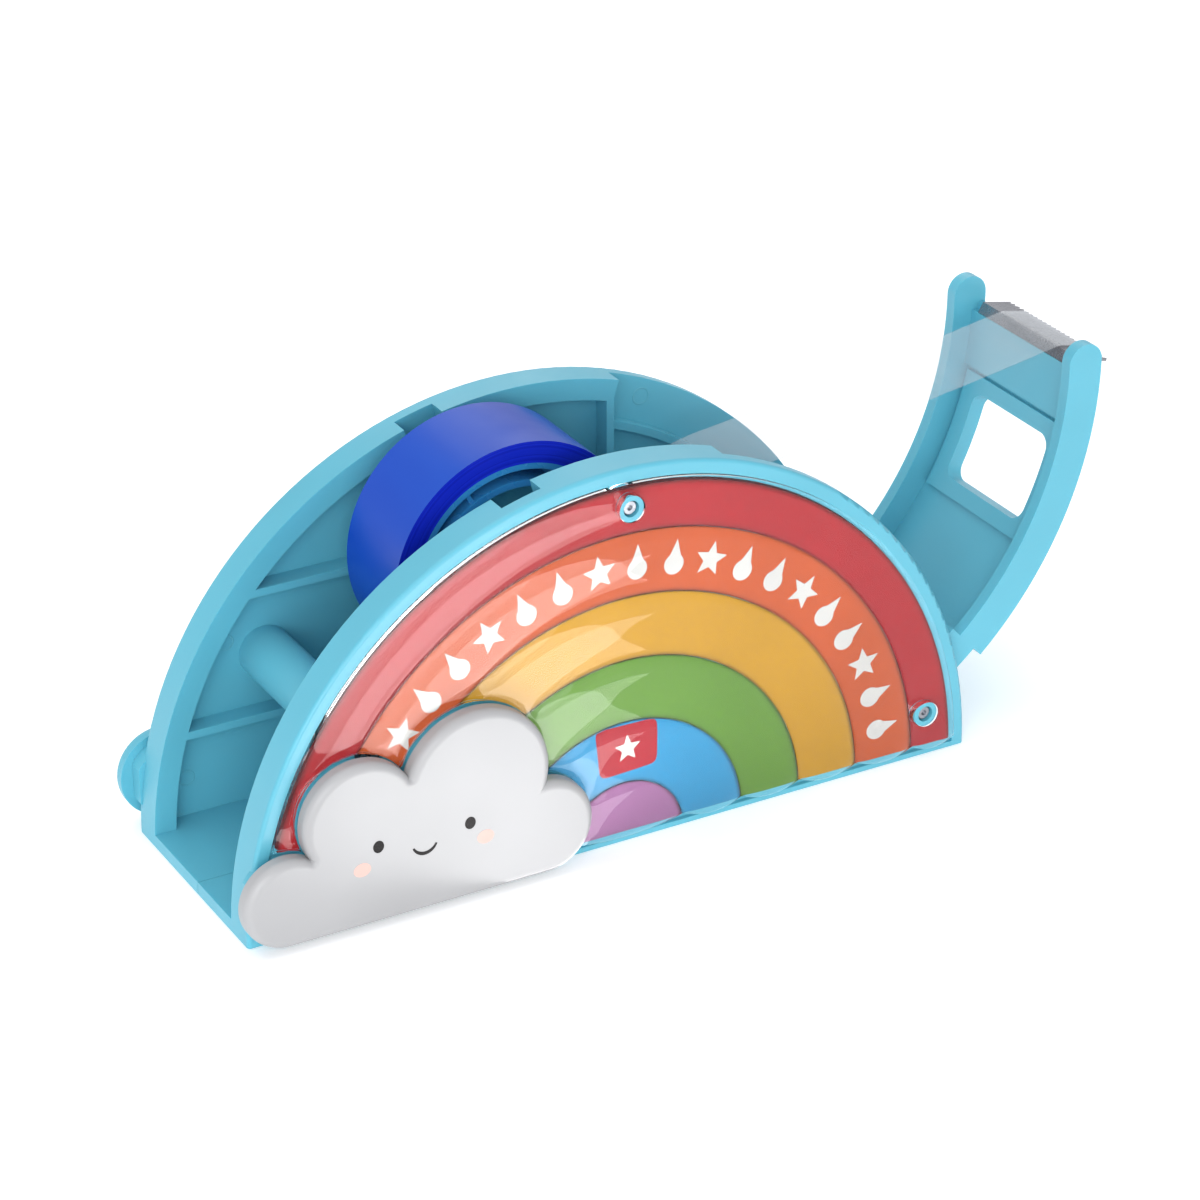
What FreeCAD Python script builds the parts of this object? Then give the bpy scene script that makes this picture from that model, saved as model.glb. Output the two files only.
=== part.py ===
import FreeCAD, Part
import os
import re
import Sketcher
from FreeCAD import Placement, Rotation, Vector

# Rainbow desk tape dispenser.  X runs along the length towards the folding arm, Y runs from the
# front face to the rear face, Z is up.  The origin is the centre of the half disc on its flat base.
# The two sides are mirror images about the XZ plane, so the front one is modelled and mirrored.

SIZES = [
    ("rim_radius", 60.0, "outer radius of the half-disc body"),
    ("body_width", 37.5, "distance between the two outer faces"),
    ("plate_wall", 2.35, "thickness of a side plate"),
    ("rim_reach", 3.2, "how far the rim flange stands in from a side plate"),
    ("rim_wall", 3.4, "radial thickness of the rim flange"),
    ("rim_end", 73.0, "angle where the rim flange stops to make room for the arm"),
    ("rim_round", 0.6, "rounding of the outer rim edge"),
    ("floor_wall", 2.0, "thickness of the floor"),
    ("seam_offset", 1.9, "how far the seam of the floor lies in front of the middle"),
    ("seam_gap", 0.1, "gap between the two halves along the seam"),
    ("end_wall", 1.6, "radial thickness of the end wall under the arm"),
    ("end_height", 9.38, "height of the end wall, whose top is the open stop of the arm"),
    ("rib_wall", 1.2, "thickness of the stiffening ribs"),
    ("upper_rib_drop", 22.4, "how far the upper rib lies below the top of the rim"),
    ("upper_rib_left", 18.0, "how far left of the middle the upper rib ends"),
    ("lower_rib", 17.4, "height of the lower rib"),
    ("ear_gap", 0.3, "gap between the upright rib and the ears of the folded arm"),
    ("fence_reach", 2.0, "how far the fence beside the arm stands in from a side plate"),
    ("fence_gap", 1.0, "gap between the fence and the folded arm"),
    ("fence_low", 24.0, "lowest angle of the fence"),
    ("slot_angle", 104.4, "direction of the spindle slot from the middle of the body"),
    ("seat_inset", 16.3, "how far the spindle seat lies inside the rim"),
    ("axle_radius", 3.1, "radius of the spindle axle"),
    ("axle_gap", 0.08, "clearance round the axle in its seat"),
    ("guide_wall", 1.2, "thickness of the guide round the spindle slot"),
    ("guide_reach", 2.6, "how far the slot guide stands in from a side plate"),
    ("recess_depth", 0.75, "depth of the recess for the colour bands"),
    ("recess_foot", 0.8, "height of the lower edge of the recess"),
    ("cover_inset", 2.2, "how far the clear cover lies inside the rim"),
    ("cover_foot", 1.0, "height of the lower edge of the clear cover"),
    ("cover_crease", 0.75, "thickness of the clear cover in the creases"),
    ("cover_dome", 0.85, "how far each ring of the clear cover bulges"),
    ("cover_gap", 0.08, "gap between the clear cover and what it fits in or lies on"),
    ("red_reach", 10.0, "distance from the outer edge of the orange band to the rim edge"),
    ("band_gap", 0.1, "gap between neighbouring bands"),
    ("band_wall", 0.6, "thickness of a colour band"),
    ("band_foot", 2.0, "height of the lower ends of the bands"),
    ("red_inset", 1.0, "how far the outermost band lies inside the clear cover"),
    ("pad_height", 1.6, "height of the cloud-shaped pad on a side plate"),
    ("pad_root", 0.15, "how deep the pad is rooted in a side plate"),
    ("pad_inset", 1.2, "how far the pad outline lies inside the cloud outline"),
    ("cloud_wall", 2.5, "thickness of a cloud"),
    ("cloud_round", 1.3, "rounding of the outer edge of a cloud"),
    ("cloud_foot", 0.8, "height of the lower edge of a cloud"),
    ("post_inset", 12.5, "how far the left cross post lies inside the rim"),
    ("post_angle", 147.2, "direction of the left cross post from the middle of the body"),
    ("post_radius", 4.1, "radius of the cross posts"),
    ("hidden_post_inset", 27.0, "how far the right cross post lies inside the rim along the length"),
    ("hidden_post_z", 9.5, "height of the right cross post"),
    ("boss_length", 3.4, "length of the screw bosses of the front shell"),
    ("screw_radius", 1.3, "radius of the case screws"),
    ("screw_length", 14.0, "length of the case screws under the head"),
    ("head_radius", 2.4, "radius of the case screw heads"),
    ("head_height", 1.4, "height of the case screw heads"),
    ("head_sink", 0.1, "how far the heads of the case screws are sunk below the bands"),
    ("small_screw_radius", 0.8, "radius of the cover screws"),
    ("small_head_radius", 1.2, "radius of the cover screw heads"),
    ("small_head_height", 0.8, "height of the cover screw heads"),
    ("head_recess", 0.45, "how far the heads of the cover screws lie inside their bosses"),
    ("cover_boss_radius", 2.0, "radius of the boss round each cover screw"),
    ("screw_gap", 0.05, "clearance round the screws"),
    ("cover_screw_length", 1.6, "length of the cover screws under the head"),
    ("boss_stand", 1.25, "how far the bosses of the cover screws stand proud of a side plate"),
    ("top_screw_x", 0.6, "place of the upper cover screw along the length"),
    ("top_screw_drop", 5.8, "how far the upper cover screw lies below the top of the rim"),
    ("low_screw_inset", 8.1, "how far the lower cover screw lies inside the rim along the length"),
    ("low_screw_z", 7.7, "height of the lower cover screw"),
    ("hub_radius", 12.6, "radius of the spindle hub, which carries the tape core"),
    ("hub_half_width", 3.0, "half the width of the hub rim"),
    ("hub_rim", 1.2, "radial thickness of the hub rim"),
    ("hub_web", 0.8, "half the thickness of the hub web"),
    ("axle_end_gap", 0.3, "gap between an axle end and the side plate"),
    ("core_gap", 0.08, "clearance between the hub and the core"),
    ("core_ring", 1.0, "thickness of the inner ring of the core"),
    ("core_depth", 3.6, "radial depth of the tape core round the hub"),
    ("core_rim", 0.9, "thickness of the outer ring of the core"),
    ("core_web", 0.7, "half the thickness of the web of the core"),
    ("core_rib", 0.7, "thickness of the radial ribs of the core"),
    ("core_rib_inset", 0.6, "how far those ribs stop short of the core's ends"),
    ("tape_width", 15.2, "width of the tape and its core"),
    ("tape_layers", 3.3, "depth of the wound tape on its core"),
    ("pivot_inset", 6.6, "how far the arm pivot lies inside the rim along the length"),
    ("pivot_z", 11.3, "height of the arm pivot"),
    ("open_angle", 69.0, "how far the arm swings open from its folded place"),
    ("arm_gap", 0.2, "gap between the arm and a side plate"),
    ("arm_wall", 2.0, "thickness of the arm's side walls"),
    ("arm_depth", 5.8, "radial depth of the arm's side walls"),
    ("arm_web", 1.7, "thickness of the arm's web"),
    ("foot_start", 21.5, "angle where the arm steps in over the end wall"),
    ("foot_step", 1.9, "depth of that step"),
    ("foot_end", 19.0, "angle where the web ends above the pivot"),
    ("ear_end", 69.6, "angle where the straight part of the ears ends"),
    ("seat_start", 58.2, "angle where the blade seat begins"),
    ("seat_wall", 2.4, "thickness of the blade seat"),
    ("window_low", 41.3, "lowest angle of the arm's window"),
    ("window_high", 54.7, "highest angle of the arm's window"),
    ("window_side", 4.3, "distance from an arm side wall to the window"),
    ("window_round", 2.2, "corner radius of the arm's window"),
    ("frame_margin", 2.9, "width of the raised frame round the window, in degrees"),
    ("frame_side", 3.1, "width of the raised frame beside the window"),
    ("frame_height", 0.8, "height of the raised frame"),
    ("pivot_boss", 4.4, "radius of the arm's ends round the pivot"),
    ("stub_radius", 1.9, "radius of the pivot stubs"),
    ("stub_length", 1.2, "length of the pivot stubs"),
    ("stub_gap", 0.08, "clearance round the pivot stubs"),
    ("blade_angle", 68.6, "angle of the blade's bend when folded"),
    ("blade_inset", 1.5, "how far the blade's bend lies inside the rim when folded"),
    ("blade_tilt", 11.0, "how far the blade leans from the radial direction"),
    ("blade_wall", 0.45, "thickness of the blade"),
    ("blade_reach", 5.3, "length of the blade from its bend to its edge"),
    ("blade_lip", 1.7, "length of the blade's bent lip"),
    ("blade_side", 1.6, "gap between the blade and an arm side wall"),
    ("blade_gap", 0.05, "gap between the blade and its seat"),
    ("tooth_pitch", 1.2, "distance between the blade's teeth"),
    ("tooth_depth", 0.8, "depth of the blade's teeth"),
    ("film_wall", 0.2, "thickness of the strip of tape"),
    ("film_gap", 0.15, "gap between the strip and what it lies on"),
    ("film_leave", 65.0, "direction in which the strip leaves the roll"),
    ("film_slope", 8.5, "slope of the strip's straight run"),
    ("film_bend", 26.0, "radius of the strip's bend beside the roll"),
]

# Sizes that follow from the ones above.
DERIVED = {
    "cover_radius": "rim_radius - cover_inset",
    "red_radius": "cover_radius - red_inset",
    "band_step": "(rim_radius - red_reach) / 5",
    "seat_radius": "rim_radius - seat_inset",
    "upper_rib": "rim_radius - upper_rib_drop",
    "post_x": "(rim_radius - post_inset) * cos(post_angle)",
    "post_z": "(rim_radius - post_inset) * sin(post_angle)",
    "hidden_post_x": "rim_radius - hidden_post_inset",
    "top_screw_z": "rim_radius - top_screw_drop",
    "low_screw_x": "rim_radius - low_screw_inset",
    "core_radius": "hub_radius + core_depth",
    "roll_radius": "core_radius + tape_layers",
    "pivot_x": "rim_radius - pivot_inset",
    "arm_inner": "rim_radius - arm_depth",
    "arm_side": "body_width / 2 - plate_wall - arm_gap",
    "arm_inside": "arm_side - arm_wall",
    "window_half": "arm_inside - window_side",
    "frame_half": "window_half + frame_side",
    "rib_right": "(rim_radius + arm_inner) / 2 * cos(ear_end) - arm_depth / 2 - ear_gap - rib_wall",
    "blade_radius": "rim_radius - blade_inset",
    "blade_width": "2 * (arm_inside - blade_side)",
}

BAND_COLOURS = ["purple", "blue", "green", "yellow", "orange", "red"]

doc = FreeCAD.newDocument("TapeDispenser")
sheet = doc.addObject("Spreadsheet::Sheet", "Sizes")
ALIASES = set()
NODES = {}


def fill_sheet():
    for row, (alias, value, note) in enumerate(SIZES, start=1):
        sheet.set(f"A{row}", note)
        sheet.set(f"B{row}", str(value))
        sheet.setAlias(f"B{row}", alias)
        ALIASES.add(alias)
    doc.recompute()


# ------------------------------------------------------------------ expressions

def sized(text):
    """Turn 'plate_wall + 1' into an expression that reads the sheet."""
    def name(match):
        word = match.group(0)
        if word in DERIVED:
            return f"({sized(DERIVED[word])})"
        return f"Sizes.{word}" if word in ALIASES else word
    return re.sub(r"[a-z_]{3,}", name, text)


def bind(thing, expressions):
    for path, text in expressions.items():
        thing.setExpression(path, sized(text))


def value(text):
    """The number that an expression has now, as a starting value for the sketch solver."""
    result = sheet.evalExpression(sized(text).replace("Sizes.", ""))
    return float(getattr(result, "Value", result))


FACE = "(-body_width / 2)"
INNER = "(plate_wall - body_width / 2)"
LIP = "(plate_wall + rim_reach - body_width / 2)"
SEAM = "(-seam_offset)"
ROLL_X = "(seat_radius * cos(slot_angle))"
ROLL_Z = "(seat_radius * sin(slot_angle))"
CENTRE = ("0", "0")
# How far a cutting tool reaches past what it cuts, and how deep joined solids run into each other.
REACH = "9"
ROOT = "0.5"
PIVOT = ("pivot_x", "pivot_z")
ROLL = (ROLL_X, ROLL_Z)


# ------------------------------------------------------------------ primitives

def block(name, x, y, z):
    """A box between the two values of each pair."""
    box = doc.addObject("Part::Box", name)
    bind(box, {
        "Length": f"({x[1]}) - ({x[0]})",
        "Width": f"({y[1]}) - ({y[0]})",
        "Height": f"({z[1]}) - ({z[0]})",
        "Placement.Base.x": x[0],
        "Placement.Base.y": y[0],
        "Placement.Base.z": z[0],
    })
    return box


def disc(name, radius, y, centre=CENTRE, sweep=None):
    """A cylinder along Y, or the part of it that sweeps up from +X by an angle."""
    cylinder = doc.addObject("Part::Cylinder", name)
    cylinder.Placement = Placement(Vector(), Rotation(Vector(1, 0, 0), 90))
    bind(cylinder, {
        "Radius": radius,
        "Height": f"({y[1]}) - ({y[0]})",
        "Placement.Base.x": centre[0],
        "Placement.Base.y": y[1],
        "Placement.Base.z": centre[1],
    })
    if sweep:
        bind(cylinder, {"Angle": sweep})
    return cylinder


def bar(name, angle, reach, side, y, centre=CENTRE):
    """A box along the direction at an angle, between reach[0] and reach[1], side[0] and side[1]."""
    box = doc.addObject("Part::Box", name)
    box.Placement = Placement(Vector(), Rotation(Vector(0, -1, 0), 1))
    bind(box, {
        "Length": f"({reach[1]}) - ({reach[0]})",
        "Width": f"({y[1]}) - ({y[0]})",
        "Height": f"({side[1]}) - ({side[0]})",
        "Placement.Rotation.Angle": angle,
        "Placement.Base.x": f"{centre[0]} + ({reach[0]}) * cos({angle}) - ({side[0]}) * sin({angle})",
        "Placement.Base.y": y[0],
        "Placement.Base.z": f"{centre[1]} + ({reach[0]}) * sin({angle}) + ({side[0]}) * cos({angle})",
    })
    return box


def fuse(name, *pieces):
    joined = doc.addObject("Part::MultiFuse", name)
    joined.Shapes = list(pieces)
    return joined


def cut(name, base, *tools):
    left = doc.addObject("Part::Cut", name)
    left.Base = base
    left.Tool = tools[0] if len(tools) == 1 else fuse(f"{name}_tools", *tools)
    return left


def common(name, first, second):
    shared = doc.addObject("Part::MultiCommon", name)
    shared.Shapes = [first, second]
    return shared


def sector(name, radii, y, angles, centre=CENTRE):
    """A ring between two radii and two angles, counted up from +X."""
    outer = disc(f"{name}_outer", radii[1], y, centre, angles[1])
    inner = disc(f"{name}_inner", radii[0], y, centre)
    if angles[0] == "0":
        return cut(name, outer, inner)
    below = disc(f"{name}_below", f"({radii[1]}) + 1", y, centre, angles[0])
    return cut(name, outer, inner, below)


def mirrored(name, source):
    """The same piece on the rear side."""
    copy = doc.addObject("Part::Mirroring", name)
    copy.Source = source
    copy.Base = Vector()
    copy.Normal = Vector(0, 1, 0)
    return copy


def rounded(name, base, radius, wanted):
    """Fillet the edges of base that wanted(edge) picks."""
    doc.recompute()
    size = value(radius)
    picked = [index for index, edge in enumerate(base.Shape.Edges, start=1) if wanted(edge)]
    fillet = doc.addObject("Part::Fillet", name)
    fillet.Base = base
    fillet.Edges = [(index, size, size) for index in picked]
    return fillet


def keep(node, thing):
    """Name a finished sub-part."""
    thing.Label = node
    NODES[node] = thing


# ------------------------------------------------------------------ sketches and bodies

def new_body(name):
    return doc.addObject("PartDesign::Body", name)


def new_sketch(body, name, plane, height="0"):
    sketch = body.newObject("Sketcher::SketchObject", name)
    base = [item for item in body.Origin.OriginFeatures if item.Role == plane][0]
    sketch.AttachmentSupport = [(base, "")]
    sketch.MapMode = "FlatFace"
    bind(sketch, {"AttachmentOffset.Base.z": height})
    return sketch


def fix_point(sketch, geometry, end, point):
    for kind, text in zip(("DistanceX", "DistanceY"), point):
        number = sketch.addConstraint(Sketcher.Constraint(kind, -1, 1, geometry, end, value(text)))
        sketch.setExpression(f"Constraints[{number}]", sized(text))


def arc_between(start, end, radius, left):
    """An arc, which a sketch always holds counter-clockwise, with its centre on one side."""
    chord = end - start
    across = Vector(-chord.y, chord.x, 0).normalize()
    height = max(radius ** 2 - (chord.Length / 2) ** 2, 0) ** 0.5
    middle = (start + end) * 0.5 + across * (height if left else -height)
    circle = Part.Circle(middle, Vector(0, 0, 1), radius)
    first, last = (start, end) if left else (end, start)
    return Part.ArcOfCircle(circle, circle.parameter(first), circle.parameter(last))


def outline(sketch, corners):
    """Draw a closed outline.  A corner is (x, y) for a line to the next corner, or
    (x, y, radius, side) for an arc whose centre lies on that side of the way to the next corner."""
    points = [Vector(value(corner[0]), value(corner[1]), 0) for corner in corners]
    ends = []
    for index, corner in enumerate(corners):
        start, end = points[index], points[(index + 1) % len(points)]
        if len(corner) == 2:
            geometry = sketch.addGeometry(Part.LineSegment(start, end))
            ends.append((geometry, 1, 2))
            continue
        left = corner[3] == "left"
        geometry = sketch.addGeometry(arc_between(start, end, value(corner[2]), left))
        ends.append((geometry, 1, 2) if left else (geometry, 2, 1))
    for index, corner in enumerate(corners):
        geometry, first, last = ends[index]
        following = ends[(index + 1) % len(ends)]
        sketch.addConstraint(Sketcher.Constraint("Coincident", geometry, last, following[0], following[1]))
        fix_point(sketch, geometry, first, corner[:2])
    for index, corner in enumerate(corners):
        if len(corner) == 4:
            number = sketch.addConstraint(
                Sketcher.Constraint("Radius", ends[index][0], value(corner[2])))
            sketch.setExpression(f"Constraints[{number}]", sized(corner[2]))


def pad(body, sketch, length, both_ways=False):
    feature = body.newObject("PartDesign::Pad", f"{sketch.Name}_pad")
    feature.Profile = sketch
    bind(feature, {"Length": length})
    feature.Midplane = both_ways
    return feature


def revolve(body, sketch, angle="360"):
    """Turn a sketch on the XY plane round its own Y axis."""
    feature = body.newObject("PartDesign::Revolution", f"{sketch.Name}_turn")
    feature.Profile = sketch
    feature.ReferenceAxis = (sketch, ["V_Axis"])
    bind(feature, {"Angle": angle})
    return feature


def turned(name, corners, centre=CENTRE):
    """A body of revolution about a line along Y through a centre in the XZ plane."""
    body = new_body(name)
    sketch = new_sketch(body, f"{name}_profile", "XY_Plane")
    outline(sketch, corners)
    revolve(body, sketch)
    bind(body, {"Placement.Base.x": centre[0], "Placement.Base.z": centre[1]})
    return body


# ------------------------------------------------------------------ cloud

# Each lobe of the cloud: distance of its centre from the left end of the rim, radius, and height of
# the centre above the foot.  The first and last lobes stand on the foot.
CLOUD_LOBES = [
    ("5.0", "6.9", "6.9"),
    ("16.4", "8.9", "17.0"),
    ("34.7", "11.4", "17.9"),
    ("45.6", "7.5", "7.5"),
]
CLOUD_FILL = [("5.0", "45.6", "0", "12.0"), ("16.0", "40.0", "5.0", "18.0")]


def cloud_shape(name, y, growth):
    """The cloud between two depths, its outline moved outwards by growth."""
    lobes = [
        disc(f"{name}_lobe{index}", f"{radius} + ({growth})", y,
             (f"{x} - rim_radius", f"cloud_foot + {height}"))
        for index, (x, radius, height) in enumerate(CLOUD_LOBES)
    ]
    fills = []
    for index, (left, right, low, high) in enumerate(CLOUD_FILL):
        bottom = f"cloud_foot + {low} - ({growth})"
        across = (f"{left} - rim_radius", f"{right} - rim_radius")
        fills.append(block(f"{name}_fill{index}", across, y, (bottom, f"cloud_foot + {high}")))
    return fuse(name, *lobes, *fills)


def make_clouds():
    base = f"({FACE} - pad_height)"
    shape = cloud_shape("cloud_blank", (f"{base} - cloud_wall", base), "0")
    front_y = value(f"{base} - cloud_wall")

    def on_front(edge):
        flat = edge.BoundBox.YLength < 1e-6
        return flat and abs(edge.BoundBox.YMin - front_y) < 1e-6

    refined = doc.addObject("Part::Refine", "cloud_refined")
    refined.Source = shape
    cloud = rounded("front_cloud_body", refined, "cloud_round", on_front)
    keep("front_cloud", cloud)
    keep("rear_cloud", mirrored("rear_cloud_body", cloud))


# ------------------------------------------------------------------ shells

COVER_SCREWS = [("top_screw_x", "top_screw_z"), ("low_screw_x", "low_screw_z")]
CASE_SCREWS = [("post_x", "post_z"), ("hidden_post_x", "hidden_post_z")]


def slot_guide():
    """The raised guide round the spindle slot: two walls and a round end under the seat."""
    y = (INNER, f"{INNER} + guide_reach")
    bore = "(axle_radius + axle_gap)"
    outer = f"({bore} + guide_wall)"
    reach = ("seat_radius", "rim_radius - rim_wall / 2")
    solid = fuse(
        "guide_solid",
        disc("guide_round", outer, y, ROLL),
        bar("guide_walls", "slot_angle", reach, (f"-{outer}", outer), y),
    )
    deep = (INNER, f"{LIP} + 1")
    hollow = fuse(
        "guide_hollow",
        disc("guide_seat", bore, deep, ROLL),
        bar("guide_lane", "slot_angle", ("seat_radius", "rim_radius + 1"), (f"-{bore}", bore), deep),
    )
    return solid, hollow


def shell_side():
    """Everything that the front and rear shells share, as the front one."""
    plate = disc("plate", "rim_radius", (FACE, INNER), sweep="180")
    face_y = value(FACE)
    plate = rounded("plate_round", plate, "rim_round", lambda edge: (
        edge.Curve.TypeId == "Part::GeomCircle" and abs(edge.BoundBox.YMin - face_y) < 1e-6))
    flange = sector("flange", ("rim_radius - rim_wall", "rim_radius"), (INNER, LIP), ("rim_end", "180"))
    fence_outer = "(arm_inner - fence_gap)"
    fence_y = (INNER, f"{INNER} + fence_reach")
    fence = sector("fence", (f"{fence_outer} - rib_wall", fence_outer), fence_y,
                   ("fence_low", f"acos((rib_right + rib_wall / 2) / {fence_outer})"))
    upright = block(
        "upright_rib", ("rib_right", "rib_right + rib_wall"), (INNER, LIP),
        ("lower_rib", "sqrt((rim_radius - rim_wall / 2)^2 - (rib_right + rib_wall)^2)"))
    upper = block(
        "upper_rib_bar", ("-sqrt((rim_radius - rim_wall / 2)^2 - upper_rib^2)", "-upper_rib_left"),
        (INNER, LIP), ("upper_rib - rib_wall", "upper_rib"))
    lower = block(
        "lower_rib_bar", ("-sqrt((rim_radius - rim_wall / 2)^2 - lower_rib^2)", "rib_right + rib_wall"),
        (INNER, LIP), ("lower_rib - rib_wall", "lower_rib"))
    guide, lane = slot_guide()
    side = fuse("side_solid", plate, flange, fence, upright, upper, lower, guide)

    recess = common(
        "recess",
        disc("recess_disc", "cover_radius + cover_gap", (FACE, f"{FACE} + recess_depth")),
        block("recess_half", ("-rim_radius", "rim_radius"), (f"{FACE} - 1", f"{FACE} + recess_depth"),
              ("recess_foot", "rim_radius")))
    recess_floor = f"({FACE} + recess_depth)"
    socket = disc("stub_socket", "stub_radius + stub_gap",
                  (f"{INNER} - stub_length + arm_gap - axle_gap", INNER), PIVOT)
    side = cut("side_recessed", side, recess, lane, socket)

    pad_y = (f"{FACE} - pad_height", f"{recess_floor} + pad_root")
    pad_left = block("pad_left", ("-rim_radius", "0"), pad_y, ("0", "rim_radius"))
    cloud_pad = common("pad_inside", cloud_shape("cloud_pad", pad_y, "-pad_inset"), pad_left)
    bosses = [disc(f"cover_boss{index}", "cover_boss_radius", (f"{FACE} - boss_stand", recess_floor), place)
              for index, place in enumerate(COVER_SCREWS)]
    side = fuse("side_padded", side, cloud_pad, *bosses)
    head_foot = f"({FACE} - boss_stand + head_recess + small_head_height)"
    holes = [disc(f"cover_screw_hole{index}", "small_screw_radius + screw_gap",
                  (f"{FACE} - {REACH}", f"{head_foot} + cover_screw_length + screw_gap"), place)
             for index, place in enumerate(COVER_SCREWS)]
    holes += [disc(f"cover_head_hole{index}", "small_head_radius + screw_gap",
                   (f"{FACE} - {REACH}", head_foot), place)
              for index, place in enumerate(COVER_SCREWS)]
    return cut("side_drilled", side, *holes)


def floor_half(name, y):
    """The floor between two depths, closed at the right by the low end wall."""
    slab = common(
        f"{name}_slab",
        disc(f"{name}_disc", "rim_radius", y),
        block(f"{name}_block", ("-rim_radius", "rim_radius"), y, ("0", "floor_wall")))
    wall = sector(f"{name}_wall", ("rim_radius - end_wall", "rim_radius"), y,
                  ("0", "asin(end_height / rim_radius)"))
    return fuse(name, slab, wall)


def make_shells():
    side = shell_side()
    boss_end = f"({INNER} + boss_length)"
    bosses = [disc(f"boss{index}", "post_radius", (INNER, boss_end), place)
              for index, place in enumerate(CASE_SCREWS)]
    shafts = [disc(f"shaft_hole{index}", "screw_radius + screw_gap", (f"{FACE} - {REACH}", boss_end), place)
              for index, place in enumerate(CASE_SCREWS)]
    heads = [disc(f"head_hole{index}", "head_radius + screw_gap",
                  (f"{FACE} - {REACH}", f"{FACE} + recess_depth + head_sink + head_height"), place)
             for index, place in enumerate(CASE_SCREWS)]
    front = fuse("front_solid", side, floor_half("front_floor", (f"{INNER} - {ROOT}", SEAM)), *bosses)
    front = cut("front_drilled", front, *shafts, *heads)
    keep("front_shell", front)

    rear_inner = f"(-{INNER})"
    posts = [disc(f"post{index}", "post_radius", (f"{boss_end} + seam_gap", rear_inner), place)
             for index, place in enumerate(CASE_SCREWS)]
    pilots = [disc(f"pilot{index}", "screw_radius + screw_gap",
                   (boss_end, f"{boss_end} + screw_length"), place)
              for index, place in enumerate(CASE_SCREWS)]
    rear = fuse(
        "rear_solid", mirrored("rear_side", side),
        floor_half("rear_floor", (f"{SEAM} + seam_gap", f"{rear_inner} + {ROOT}")), *posts)
    rear = cut("rear_drilled", rear, *pilots)
    keep("rear_shell", rear)


# ------------------------------------------------------------------ bands and covers

def make_bands():
    """Six flat colour bands a side, cut away round the cloud and the cover screws."""
    top = f"({FACE} + recess_depth)"
    y = (f"{top} - band_wall", top)
    deep = (f"{top} - band_wall - 1", f"{top} + 1")
    trim = fuse(
        "band_trim", cloud_shape("band_cloud", deep, "band_gap"),
        *[disc(f"band_screw{index}", "cover_boss_radius + screw_gap", deep, place)
          for index, place in enumerate(COVER_SCREWS)],
        block("band_below", ("-rim_radius", "rim_radius"), deep, ("-1", "band_foot")),
        block("band_under_cloud", ("-rim_radius", "band_gap * 3 - band_step"), deep, ("-1", "band_foot + 2")))
    for index, colour in enumerate(BAND_COLOURS):
        outer = "red_radius" if colour == "red" else f"band_step * {index + 1}"
        blank = disc(f"{colour}_disc", outer, y, sweep="180")
        if index:
            inner = disc(f"{colour}_bore", f"band_step * {index} + band_gap", deep)
            blank = cut(f"{colour}_ring", blank, inner)
        band = cut(f"{colour}_trimmed", blank, trim)
        keep(f"front_{colour}_band", band)
        keep(f"rear_{colour}_band", mirrored(f"rear_{colour}", band))


def pillow_profile():
    """Half section of the clear cover: a flat back and one bulge over each band."""
    back = f"({FACE} + recess_depth - band_wall - cover_gap)"
    crease = f"({back} - cover_crease)"
    bulge = "((band_step / 2)^2 + cover_dome^2) / (2 * cover_dome)"
    last = "(cover_radius - band_step * 5)"
    last_bulge = f"(({last} / 2)^2 + cover_dome^2) / (2 * cover_dome)"
    middle_bulge = "(band_step^2 + cover_dome^2) / (2 * cover_dome)"
    corners = [("0", back), ("cover_radius", back)]
    corners.append(("cover_radius", crease, last_bulge, "right"))
    for step in (5, 4, 3, 2):
        corners.append((f"band_step * {step}", crease, bulge, "right"))
    corners.append(("band_step", crease, middle_bulge, "right"))
    corners.append(("0", f"{crease} - cover_dome"))
    return corners


def make_covers():
    """The clear cover of the front bands, with its lower edge, the cloud and the screws cut out."""
    body = new_body("clear_cover_body")
    sketch = new_sketch(body, "cover_profile", "XY_Plane")
    outline(sketch, pillow_profile())
    revolve(body, sketch)
    deep = (f"{FACE} - {REACH}", f"{FACE} + {REACH}")
    trim = fuse(
        "cover_trim", cloud_shape("cover_cloud", deep, "cover_gap"),
        *[disc(f"cover_screw{index}", "cover_boss_radius + screw_gap", deep, place)
          for index, place in enumerate(COVER_SCREWS)],
        block("cover_under_cloud", ("-rim_radius - 3", f"{CLOUD_LOBES[0][0]} + 5 - rim_radius"), deep,
              ("-1", "cover_foot + 3")),
        block("cover_below", ("-rim_radius", "rim_radius"), deep, ("-rim_radius", "cover_foot")))
    cover = cut("cover_trimmed", body, trim)
    keep("front_clear_cover", cover)
    keep("rear_clear_cover", mirrored("rear_cover", cover))


# ------------------------------------------------------------------ screws

def screw(name, radius, head_radius, head_height, length, place, y_head):
    """A pan head screw whose head starts at depth y_head and whose shaft runs to the rear."""
    socket = f"({head_height} * 0.55)"
    corners = [
        (f"{head_radius} * 0.35", "0"), (f"{head_radius} * 0.8", "0"), (head_radius, f"{head_height} * 0.4"),
        (head_radius, head_height), (radius, head_height), (radius, f"{head_height} + {length} - {radius}"),
        (f"{radius} * 0.3", f"{head_height} + {length}"), ("0", f"{head_height} + {length}"),
        ("0", socket), (f"{head_radius} * 0.35", socket),
    ]
    body = turned(name, corners, place)
    bind(body, {"Placement.Base.y": y_head})
    return body


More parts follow.
